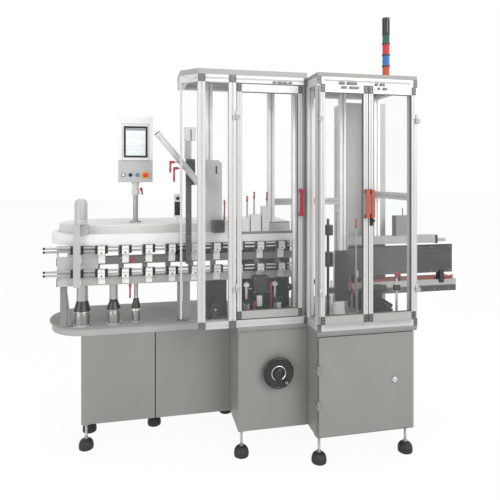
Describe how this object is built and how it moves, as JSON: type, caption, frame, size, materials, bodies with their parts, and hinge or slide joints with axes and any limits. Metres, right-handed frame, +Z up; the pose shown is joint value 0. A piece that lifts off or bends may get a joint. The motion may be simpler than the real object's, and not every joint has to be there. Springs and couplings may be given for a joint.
{
  "type": "automatic cartoner",
  "caption": "Horizontal packaging machine with infeed bucket conveyor, carton magazine, glazed guards, outfeed conveyor and swivelling operator panel.",
  "frame": {"origin": "on the floor under the middle of the machine's outer box", "axes": "+X along the machine towards the outfeed, +Y to the rear, +Z up"},
  "size_m": [2.549, 0.986, 2.48],
  "materials": {
    "grey_paint": "satin",
    "white_paint": "satin",
    "aluminium_profile": "anodised",
    "brushed_steel": "brushed",
    "chrome": "polished",
    "black_rubber": "matt",
    "black_plastic": "matt",
    "dark_metal": "satin",
    "clear_pane": "clear",
    "red_plastic": "gloss",
    "orange_red_plastic": "gloss",
    "white_plastic": "matt",
    "lens": "gloss",
    "screen": "gloss",
    "belt": "matt"
  },
  "bodies": {
    "machine_base": {"base_cabinet_left": "grey_paint", "base_cabinet_middle": "grey_paint", "base_cabinet_right": "grey_paint", "table_plate": "grey_paint", "table_tray": "grey_paint", "levelling_feet": "black_rubber", "guard_posts": "aluminium_profile", "guard_rails_x": "aluminium_profile", "guard_rails_y": "aluminium_profile", "guard_roof": "grey_paint", "guard_panes": "clear_pane", "door_hinges": "chrome", "machine_brackets": "dark_metal", "format_blocks": "white_plastic", "format_rods": "chrome", "clamp_levers": "red_plastic", "outfeed_belt": "belt", "handwheel_shaft": "chrome", "electrical_enclosure": "white_paint", "signal_tower_body": "black_plastic", "signal_tower_lenses": "lens", "conveyor_cover": "white_paint", "bucket_band": "white_plastic", "conveyor_beams": "aluminium_profile", "beam_spacers": "grey_paint", "guide_rails": "chrome", "rail_clamps": "white_plastic", "rail_collars": "black_plastic", "support_columns": "brushed_steel", "gusset_post": "aluminium_profile", "drive_cap": "white_plastic", "panel_pole": "brushed_steel", "magazine_beam": "white_paint", "magazine_upright": "dark_metal", "magazine_plate": "white_paint", "outfeed_frame": "aluminium_profile", "outfeed_side_plate": "brushed_steel", "outfeed_top_beam": "white_paint"},
    "left_door": {"left_door_frame": "aluminium_profile", "left_door_corners": "dark_metal", "left_door_pane": "clear_pane", "left_door_handle": "red_plastic"},
    "middle_door": {"middle_door_frame": "aluminium_profile", "middle_door_corners": "dark_metal", "middle_door_pane": "clear_pane", "middle_door_handle": "orange_red_plastic"},
    "right_door": {"right_door_frame": "aluminium_profile", "right_door_corners": "dark_metal", "right_door_pane": "clear_pane", "right_door_handle": "orange_red_plastic"},
    "cabinet_leaf": {"cabinet_door": "grey_paint", "cabinet_lock": "chrome"},
    "handwheel": {"handwheel": "black_plastic", "handwheel_knob": "white_plastic"},
    "operator_panel": {"panel_neck": "white_paint", "panel_housing": "white_paint", "panel_screen": "screen", "panel_buttons": "black_plastic", "panel_lever": "red_plastic"}
  },
  "joints": [
    {"name": "left_door_hinge", "type": "hinge", "parent": "machine_base", "child": "left_door", "pos_m": [-0.242, -0.282, 1.386], "axis": [0, 0, -1], "range_deg": [0, 105]},
    {"name": "middle_door_hinge", "type": "hinge", "parent": "machine_base", "child": "middle_door", "pos_m": [0.164, -0.478, 1.386], "axis": [0, 0, -1], "range_deg": [0, 105]},
    {"name": "right_door_hinge", "type": "hinge", "parent": "machine_base", "child": "right_door", "pos_m": [0.717, -0.478, 1.386], "axis": [0, 0, 1], "range_deg": [0, 105]},
    {"name": "cabinet_door_hinge", "type": "hinge", "parent": "machine_base", "child": "cabinet_leaf", "pos_m": [0.164, -0.445, 0.42], "axis": [0, 0, -1], "range_deg": [0, 105]},
    {"name": "handwheel_turn", "type": "hinge", "parent": "machine_base", "child": "handwheel", "pos_m": [-0.016, -0.31, 0.465], "axis": [0, -1, 0], "continuous": true},
    {"name": "panel_swivel", "type": "hinge", "parent": "machine_base", "child": "operator_panel", "pos_m": [-0.782, 0.185, 1.44], "axis": [0, 0, 1], "range_deg": [-90, 90]}
  ]
}
